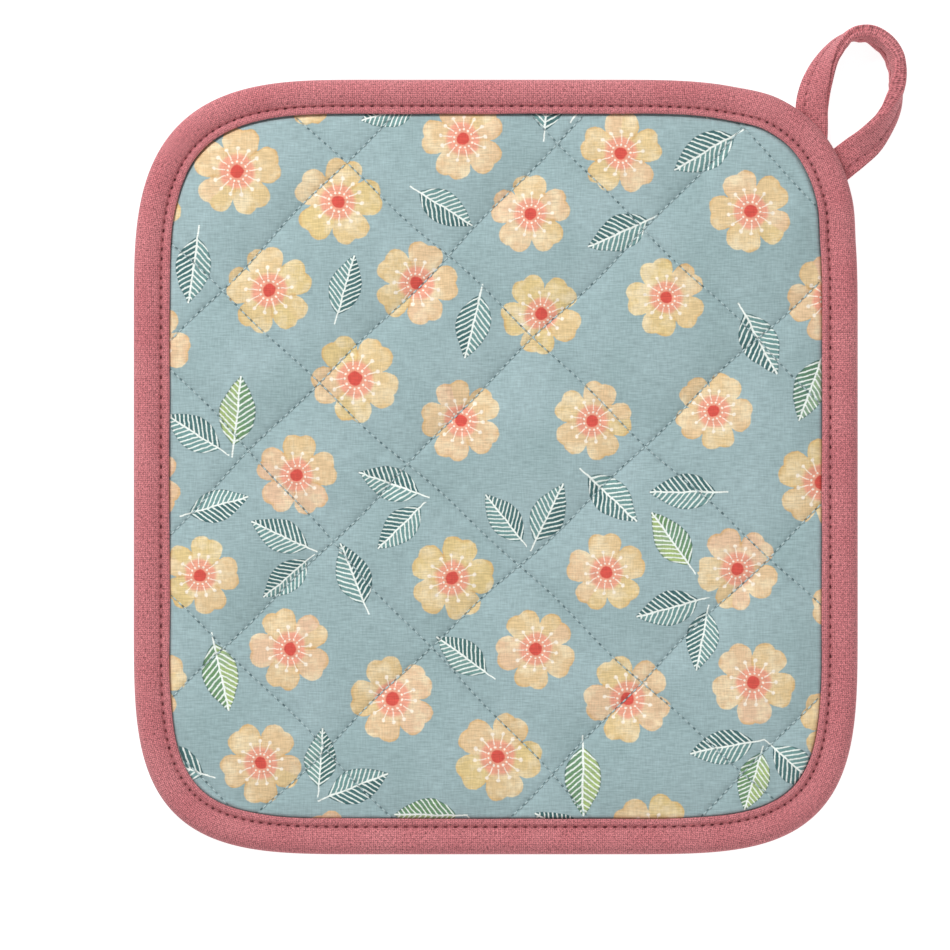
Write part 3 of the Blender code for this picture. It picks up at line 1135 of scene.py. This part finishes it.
@dataclass
class EdgeBinding:
    """The bias tape folded over the edge: turned in at both lips and topstitched through.

    The tables hold the back's and the face's rows of (inset from the edge, height).
    """

    outline: PadOutline
    seat: LoopSeat
    cloth: float = 0.45 * MM
    layer_gap: float = 0.1 * MM
    turned_in: tuple = (0.6 * MM, 1.5 * MM, 2.35 * MM, 3.4 * MM, 5.2 * MM)
    arc_steps: int = 4
    stitch_inset: float = 7.65 * MM
    stitch_length: float = 1.6 * MM
    stitch_radius: float = 0.22 * MM
    face_stitch_level: float = 5.36 * MM
    back_stitch_level: float = 0.33 * MM
    narrower_top: float = 0.45 * MM
    corner_loss: float = 30 * MM
    under_rows: tuple = in_mm(
        (9.3, 0.0), (8.4, 0.0), (7.5, 0.45), (6.6, 0.05), (5.6, 0.0), (2.6, 0.0), (1.5, 0.35), (0.7, 1.2),
        (0.15, 2.3))
    over_rows: tuple = in_mm(
        (0.0, 3.4), (0.15, 4.4), (0.6, 5.35), (1.4, 6.2), (2.4, 6.7), (3.6, 6.9), (4.8, 6.75), (5.9, 6.4),
        (6.9, 6.05), (7.35, 5.75), (7.65, 5.2), (7.95, 5.65), (8.4, 6.0), (8.9, 6.15), (9.5, 6.0))
    station: float = TOP_STITCH_PITCH / 4
    under_groove: float = 0.5 * MM
    dimple: float = 0.30 * MM
    dimple_length: float = 0.55 * MM
    dimple_reach: float = 0.8 * MM
    ripple: float = 0.07 * MM
    pull_reach: float = 2.2 * MM
    gather: float = 0.16 * MM
    gather_size: float = 2.6 * MM
    swell_size: float = 24 * MM
    waver: float = 0.22 * MM
    waver_size: float = 16 * MM

    @property
    def stitch_pitch(self) -> float:
        """The topstitches' pitch with a whole number of them going round."""
        return self.outline.total / round(self.outline.total / TOP_STITCH_PITCH)

    @property
    def lip_rows(self) -> int:
        """How many of the section's rows belong to each lip."""
        return self.arc_steps + len(self.turned_in)

    def section(self) -> Array:
        """The tape's section as rows of (inset, height, share of the face's lift).

        Returns:
            From the back's turned-in edge, round the pad's edge, to the face's turned-in edge.
        """
        fold = (self.cloth * 2 + self.layer_gap) / 2
        under = [(*row, 0.0) for row in self.under_rows]
        over = [(*row, min(1.0, 0.5 + index * 0.12)) for index, row in enumerate(self.over_rows)]
        back_lip = self.lip(under[0], -1.0, fold)
        return np.array(back_lip[::-1] + under + over + self.lip(over[-1], 1.0, fold))

    def lip(self, start: tuple, up: float, fold: float) -> list:
        """The rounded lip and the layer turned in below it.

        Args:
            start: The last row before the lip.
            up: 1 on the face and -1 on the back.
            fold: The lip's radius.

        Returns:
            Rows of (inset, height, lift share), from the start inwards.
        """
        rows = []
        for step in range(1, self.arc_steps + 1):
            angle = math.pi / 2 - step * math.pi / self.arc_steps
            rows.append((start[0] + fold * math.cos(angle), start[1] + up * fold * (math.sin(angle) - 1),
                         start[2]))
        table = np.array(sorted(self.under_rows if up < 0 else self.over_rows))
        for depth in self.turned_in:
            inset = start[0] - depth
            window = np.linspace(inset - self.under_groove, inset + self.under_groove, 9)
            dimple = self.dimple * bell(window - self.stitch_inset, self.dimple_reach)
            levels = up * np.interp(window, table[:, 0], table[:, 1]) - dimple
            rows.append((inset, up * (levels.min() - 2 * fold), start[2]))
        return rows

    def top_shift(self, inset: Array, normal: Array) -> Array:
        """How much narrower the tape lies along the top edge, at each inset."""
        return self.narrower_top * normal[:, 1].clip(0.0) * smooth_ramp(inset, 5.6 * MM, 9.8 * MM)

    def build(self, material: Material) -> Piece:
        """Build the binding as one folded sheet of the dyed cotton."""
        section = self.section()
        count = round(self.outline.total / self.station / 4) * 4
        mesh, chart, steps, row, place = sweep("binding_cloth", section, self.outline.total, count)
        inset, height, share = section[row].T.copy()
        point, normal = self.outline.at(place)
        across = inset - self.stitch_inset
        phase = np.mod(place / self.stitch_pitch, 1.0) - 0.5
        hole = bell(phase * TOP_STITCH_PITCH, self.dimple_length)
        face = share > 0.3
        outer = (row >= self.lip_rows) & (row < len(section) - self.lip_rows)
        height -= face * outer * self.dimple * hole * bell(across, self.dimple_reach)
        pulls = np.cos(phase * math.tau) * np.exp(-np.abs(across) / self.pull_reach)
        height -= self.ripple * pulls * face * smooth_ramp(inset, 1 * MM, 4 * MM)
        corner = smooth_ramp(np.abs(normal).min(axis=1), 0.05, 0.45)
        gathers = unevenness(np.column_stack((place, inset * 0.4)), self.gather_size, 23) * (0.35 + corner)
        height += self.gather * gathers * face * smooth_ramp(inset, 1.5 * MM, 6 * MM) * outer
        inset += self.waver * unevenness(point, self.waver_size, 21) * smooth_ramp(inset, 7.6 * MM, 9.8 * MM)
        swell = unevenness(point, self.swell_size, 22) * smooth_ramp(height, 3 * MM, 6 * MM)
        height += self.gather * swell * face
        inset -= self.top_shift(inset, normal)
        lift = self.seat.lift_under + (self.seat.lift_over - self.seat.lift_under) * share
        height += self.seat.share(point) * lift
        write_points(mesh, np.column_stack((point - normal * inset[:, None], height)))
        self.chart_seam(mesh, chart, steps, section)
        tube = bmesh.new()
        tube.from_mesh(mesh)
        bmesh.ops.remove_doubles(tube, verts=tube.verts[:], dist=0.001 * MM)
        tube.to_mesh(mesh)
        tube.free()
        binding = place_piece("edge_binding_cloth", mesh, (material,))
        thicken(binding, self.cloth, -1.0)
        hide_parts("edge_binding")
        return binding

    def chart_seam(self, mesh: Mesh, chart: Array, steps: Array, section: Array) -> None:
        """Give the cloth a map of the topstitching, in millimetres along and across the row.

        Args:
            mesh: The binding's mesh.
            chart: Its cloth map.
            steps: Each row's place on the cloth.
            section: The tape's section.
        """
        outer = slice(self.lip_rows, len(section) - self.lip_rows)
        inset = np.full(len(section), 99 * MM)
        inset[outer] = section[outer, 0]
        along = chart[:, 0] * TOP_STITCH_PITCH / self.stitch_pitch
        across = np.interp(chart[:, 1] * MM, steps, inset) - self.stitch_inset
        write_map(mesh, "seam", np.column_stack((along, across / MM)))

    def stitches(self, side: Side, thread: Material) -> Piece:
        """Sew the topstitching on one side."""
        count = round(self.outline.total / TOP_STITCH_PITCH)
        point, normal = self.outline.at(np.arange(count) * self.stitch_pitch)
        inset = np.full(count, self.stitch_inset)
        spots = point - normal * (inset - self.top_shift(inset, normal))[:, None]
        level, lift = self.back_stitch_level, self.seat.lift_under
        if side is Side.FACE:
            level, lift = self.face_stitch_level, self.seat.lift_over
        places = [((*spot, height), (-out[1], out[0], 0.0), (0.0, 0.0, side.value))
                  for spot, height, out in zip(spots, level + self.seat.share(point) * lift, normal)]
        return sew(f"binding_topstitch_{side.name.lower()}", places, self.stitch_length,
                   self.stitch_radius, thread)


@dataclass
class HangingLoop:
    """The hanging loop: bias tape folded in four, stitched near its outer edge and rolled round.

    Its rows are the centre line's (x, y, roll, thickness), in millimetres and degrees.
    """

    rows: tuple = (
        (86.9, 87.6, 0, 2.0), (87.3, 93.7, 0, 2.0), (87.4, 99.4, 8, 2.0), (88.1, 103.9, 24, 2.0),
        (89.4, 107.9, 40, 2.1), (90.8, 111.2, 55, 2.3), (92.7, 114.3, 68, 2.6), (95.3, 117.1, 80, 3.1),
        (98.6, 119.3, 92, 3.5), (102.3, 119.7, 98, 3.5), (105.2, 118.6, 103, 3.5), (108.0, 116.4, 104, 3.5),
        (109.9, 113.5, 103, 3.5), (110.7, 110.5, 99, 3.6), (110.9, 107.6, 95, 3.9), (110.7, 104.9, 90, 4.2),
        (110.2, 102.3, 81, 3.9), (109.6, 99.8, 71, 3.2), (108.5, 97.2, 62, 2.8), (106.7, 94.2, 52, 2.4),
        (103.1, 89.9, 30, 2.1), (99.6, 87.0, 14, 2.0), (97.0, 84.9, 2, 2.0), (94.3, 82.7, 0, 2.0),
        (90.2, 79.7, 0, 2.0))
    width: float = 9.0 * MM
    cloth: float = 0.44 * MM
    flat_thickness: float = 2 * MM
    pitch: float = 0.5 * MM
    stitch_across: float = -1.9 * MM
    stitch_length: float = 2.2 * MM
    stitch_radius: float = 0.2 * MM
    stitch_share: float = 0.86
    hole_length: float = 0.6 * MM
    pinch_reach: float = 0.9 * MM
    puff: float = 0.10
    crease: float = 0.60 * MM
    crease_size: float = 3.2 * MM
    crease_stretch: tuple = (0.25, 0.38, 0.62, 0.75)
    channel: float = 0.80 * MM
    channel_stretch: tuple = (0.05, 0.12, 0.42, 0.52)
    wave: float = 0.10 * MM
    wave_size: float = 9 * MM
    total: float = field(init=False)
    places: Array = field(init=False)
    along: Array = field(init=False)
    across: Array = field(init=False)
    through: Array = field(init=False)
    thickness: Array = field(init=False)
    centre: Array = field(init=False)

    def __post_init__(self) -> None:
        """Work out the centre line, evenly stepped, with the tape's directions at each step."""
        rows = np.array(self.rows) * (MM, MM, 1.0, MM)
        padded = np.vstack((rows[:1], rows, rows[-1:]))
        fine = []
        for index in range(len(rows) - 1):
            before, start, end, after = padded[index:index + 4]
            for t in np.linspace(0, 1, 40, endpoint=False):
                fine.append(0.5 * (2 * start + (end - before) * t
                                   + (2 * before - 5 * start + 4 * end - after) * t * t
                                   + (3 * start - before - 3 * end + after) * t ** 3))
        fine = np.array(fine + [rows[-1]])
        lengths = run_lengths(fine[:, :2])
        self.total = float(lengths[-1])
        self.places = np.linspace(0.0, self.total, round(self.total / self.pitch) + 1)
        line = read_line(self.places, lengths, fine)
        heading = unit_rows(np.gradient(line[:, :2], axis=0))
        roll = np.radians(line[:, 2])[:, None]
        outward = np.column_stack((-heading[:, 1], heading[:, 0], np.zeros(len(line))))
        upright = np.array((0.0, 0.0, 1.0))
        self.along = np.column_stack((heading, np.zeros(len(line))))
        self.across = upright * np.sin(roll) - outward * np.cos(roll)
        self.through = upright * np.cos(roll) + outward * np.sin(roll)
        self.thickness = line[:, 3]
        lift = (self.width / 2 * np.sin(roll[:, 0]) + self.thickness / 2 * np.abs(np.cos(roll[:, 0]))
                - 0.05 * self.width * np.sin(roll[:, 0]) ** 2)
        self.centre = np.column_stack((line[:, :2], lift))

    def section(self) -> Array:
        """The folded tape's section, 2 mm thick: (across, through) from one raw edge to the other."""
        step = 0.5 * MM
        edge = self.width / 2 - 0.5 * MM
        rows = [(across, 0.5 * step) for across in np.linspace(edge - 1.0 * MM, -edge, 9)]
        rows += [(-edge - 0.5 * step * math.sin(a), (1 - 0.5 * math.cos(a)) * step)
                 for a in (math.pi / 4, math.pi / 2, 3 * math.pi / 4)]
        rows += [(across, 1.5 * step) for across in np.linspace(-edge, edge, 9)]
        fold = [(edge + 0.9 * step * math.sin(a), 1.5 * step * math.cos(a))
                for a in np.linspace(0, math.pi, 9)[1:-1]]
        return np.array(rows + fold + [(across, -through) for across, through in rows[::-1]])

    def between(self, place: Array, *shares: float) -> Array:
        """1 along a stretch of the loop, rising and falling between four shares of its length."""
        stops = [share * self.total for share in shares]
        return smooth_ramp(place, *stops[:2]) * (1 - smooth_ramp(place, *stops[2:]))

    def build(self, material: Material) -> Piece:
        """Build the loop as one folded sheet of the dyed cotton."""
        section = self.section()
        count = len(self.places) - 1
        mesh, chart, steps, row, place = sweep("loop_cloth", section, self.total, count)
        station = np.rint(place / self.total * count).astype(int)
        across, through = section[row].T.copy()
        place = self.places[station]
        hole = bell((np.mod(place / TOP_STITCH_PITCH, 1.0) - 0.5) * TOP_STITCH_PITCH, self.hole_length)
        pinch = bell(across - self.stitch_across, self.pinch_reach) * (0.16 + 0.18 * hole)
        through *= 1.0 + self.puff * bell(across - 1.0 * MM, 2.0 * MM) - pinch
        through *= (self.thickness[station] - self.cloth) / (self.flat_thickness - self.cloth)
        ripple = unevenness(np.column_stack((place, across * 0.5)), self.crease_size, 31)
        crumple = self.crease * ripple * self.between(place, *self.crease_stretch)
        through += crumple * smooth_ramp(-through, -0.2 * MM, 0.6 * MM)
        across += 0.2 * crumple
        slot = bell(through - 0.25 * MM, 0.35 * MM) * (across > self.width / 2 - 0.6 * MM)
        across -= self.channel * slot * self.between(place, *self.channel_stretch) * (1 + 0.8 * ripple)
        through += self.wave * unevenness(np.column_stack((place, across)), self.wave_size, 32)
        spots = (self.centre[station] + self.across[station] * across[:, None]
                 + self.through[station] * through[:, None])
        spots[:, 2] = np.maximum(spots[:, 2], self.cloth / 2)
        write_points(mesh, spots)
        beside = np.interp(chart[:, 1] * MM, steps, section[:, 0]) - self.stitch_across
        write_map(mesh, "seam", np.column_stack((chart[:, 0], beside / MM)))
        loop = place_piece("hanging_loop_cloth", mesh, (material,))
        thicken(loop, self.cloth, 0.0)
        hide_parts("hanging_loop")
        return loop

    def stitches(self, thread: Material) -> Piece:
        """Sew the row along the tape, on both of its sides."""
        places = []
        for number in range(1, int(self.total / TOP_STITCH_PITCH)):
            index = int(np.argmin(np.abs(self.places - number * TOP_STITCH_PITCH)))
            for side in Side:
                out = self.through[index] * side.value
                middle = (self.centre[index] + self.across[index] * self.stitch_across
                          + out * self.thickness[index] / 2 * self.stitch_share)
                middle[2] = max(middle[2], self.stitch_radius)
                places.append((middle, self.along[index], out))
        return sew("hanging_loop_stitches", places, self.stitch_length, self.stitch_radius, thread)


@dataclass
class Studio:
    """A pale floor, soft light from the upper left and a camera straight above.

    The pad's middle and width in the photograph are in its pixels. A light is its name, its place, its
    size in metres and its power in watts.
    """

    frame_size: float = 950.0
    pad_middle: tuple = (495.7, 467.0)
    pad_pixels: float = 722.5
    distance: float = 1.6
    sensor: float = 36.0
    lights: tuple = (("key", (-0.64, 0.86, 0.85), 0.5, 12.9), ("fill", (0.6, -0.9, 1.2), 1.2, 7.1))
    surroundings: float = 0.42
    floor_gap: float = 0.3 * MM
    floor_size: float = 3.0
    floor_colour: str = "#B4B4B4"

    def build(self, pad_width: float) -> None:
        """Add the camera, the lights, the surroundings and the floor.

        Args:
            pad_width: The pad's real width, which spans pad_pixels of the photograph.
        """
        scene = bpy.context.scene
        scene.view_settings.view_transform = 'Standard'
        scene.view_settings.look = 'None'
        scale = pad_width / self.pad_pixels
        lens = bpy.data.cameras.new("camera")
        lens.sensor_width = self.sensor
        lens.lens = self.sensor * self.distance / (self.frame_size * scale)
        aim = ((self.frame_size / 2 - self.pad_middle[0]) * scale,
               (self.pad_middle[1] - self.frame_size / 2) * scale, self.distance)
        scene.camera = self.add("camera", lens, aim)
        for name, place, size, power in self.lights:
            data = bpy.data.lights.new(name, 'AREA')
            data.size = size
            data.energy = power
            self.add(name, data, place).rotation_euler = Vector(place).to_track_quat('Z', 'Y').to_euler()
        world = bpy.data.worlds.new("white_room")
        world.use_nodes = True
        feed(world.node_tree, world.node_tree.nodes["Background"], {0: (1.0,) * 4, 1: self.surroundings})
        scene.world = world
        self.floor()

    def add(self, name: str, data: bpy.types.ID, place: tuple) -> Piece:
        """Put something at a place in the scene."""
        thing = bpy.data.objects.new(name, data)
        thing.location = place
        bpy.context.scene.collection.objects.link(thing)
        return thing

    def floor(self) -> None:
        """A pale floor that the pad lies on."""
        ground = bmesh.new()
        bmesh.ops.create_grid(ground, x_segments=1, y_segments=1, size=self.floor_size)
        mesh = mesh_of("floor", ground)
        material, graph, shader = start_material("white_paper_sweep")
        feed(graph.tree, shader, {"Base Color": linear(self.floor_colour), "Roughness": 0.9,
                                  "Specular IOR Level": 0.1, "Emission Color": (1.0,) * 4,
                                  "Emission Strength": 0.8})
        mesh.materials.append(material)
        self.add("floor", mesh, (0.0, 0.0, -self.floor_gap))


def main() -> None:
    """Build the pot holder's pieces in order and report each."""
    logging.basicConfig(level=logging.INFO, format="%(name)s %(message)s")
    low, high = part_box("edge_binding")
    seat = LoopSeat()
    outline = PadOutline(high[0] - low[0], high[1] - low[1], seat)
    pad = QuiltedPad(outline, seat, Quilting())
    floral = FloralPrint(outline.width, outline.length)
    floral.lay_out()
    Studio().build(outline.width)
    quilt_row = (QUILT_STITCH_PITCH / MM, 0.52, 0.24, 0.35)
    # The ground's two colours, the painted shade of its stitch holes, and its weave.
    ground = ("#98B0B2", "#A3BABD", "#4A676C", Weave())
    printed = PrintedCotton("printed_plain_weave_cotton", *ground,
                            NeedleRow(*quilt_row, 0.8, 0.30, 0.25)).build()
    plain_back = PlainCotton("plain_backing_cotton", *ground, NeedleRow(*quilt_row)).build()
    tape_weave = Weave(pitch=0.28 * MM, slub_length=0.9 * MM, turn=45.0, contrast=0.78, crossing=0.42,
                       relief=0.15 * MM, evenness=0.13)
    tape_pitch = TOP_STITCH_PITCH / MM
    # The tape's third colour is the painted shade of its stitch holes.
    tape = PlainCotton("dusty_pink_bias_tape", "#BC6E73", "#C4797D", "#6B242B", tape_weave,
                       NeedleRow(tape_pitch, 0.62, 0.29, 0.45)).build()
    # The loop tape's third colour is the painted shade of its stitch holes.
    loop_tape = PlainCotton("dusty_pink_loop_tape", "#BC6E73", "#C4797D", "#702A31", tape_weave,
                            NeedleRow(tape_pitch, 0.52, 0.25, 0.45)).build()
    pad.build(floral, printed, plain_back)
    quilt_thread = Thread("pale_teal_thread", "#B9CED0").build()
    tape_thread = Thread("pink_thread", "#C0737A").build()
    for side in Side:
        QuiltStitches(pad).build(side, quilt_thread)
    binding = EdgeBinding(outline, seat)
    binding.build(tape)
    for side in Side:
        binding.stitches(side, tape_thread)
    loop = HangingLoop()
    loop.build(loop_tape)
    loop.stitches(tape_thread)


if __name__ == "__main__":
    main()
